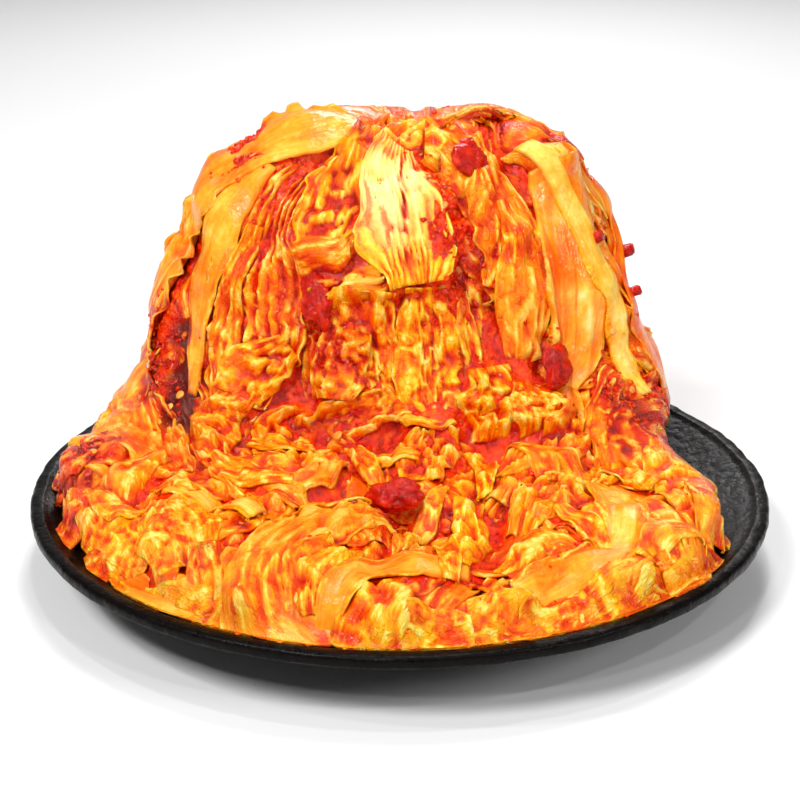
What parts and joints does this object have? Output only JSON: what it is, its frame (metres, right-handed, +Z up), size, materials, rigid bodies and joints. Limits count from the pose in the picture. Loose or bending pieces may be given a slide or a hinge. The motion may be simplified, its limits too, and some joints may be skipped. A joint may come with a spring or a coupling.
{
  "type": "kimchi on a dish",
  "caption": "Napa cabbage kimchi standing in a tall folded heap at the back of a shallow round black dish, its cut leaves spread in a red sauce to the rim.",
  "frame": {"origin": "centre of the dish's flat base, on the table", "axes": "+Z up; -Y the front, where the cut leaves spread to the rim; +Y the back, where the kimchi stands tall; +X to the right seen from the front"},
  "size_m": [0.254, 0.254, 0.1463],
  "materials": {
    "dish": "satin",
    "kimchi": "gloss",
    "red_pepper": "gloss"
  },
  "bodies": {
    "root": {"dish": "dish", "kimchi_heap": "kimchi", "red_pepper_piece_1": "red_pepper", "red_pepper_piece_2": "red_pepper", "red_pepper_piece_3": "red_pepper", "red_pepper_piece_4": "red_pepper"}
  },
  "joints": []
}
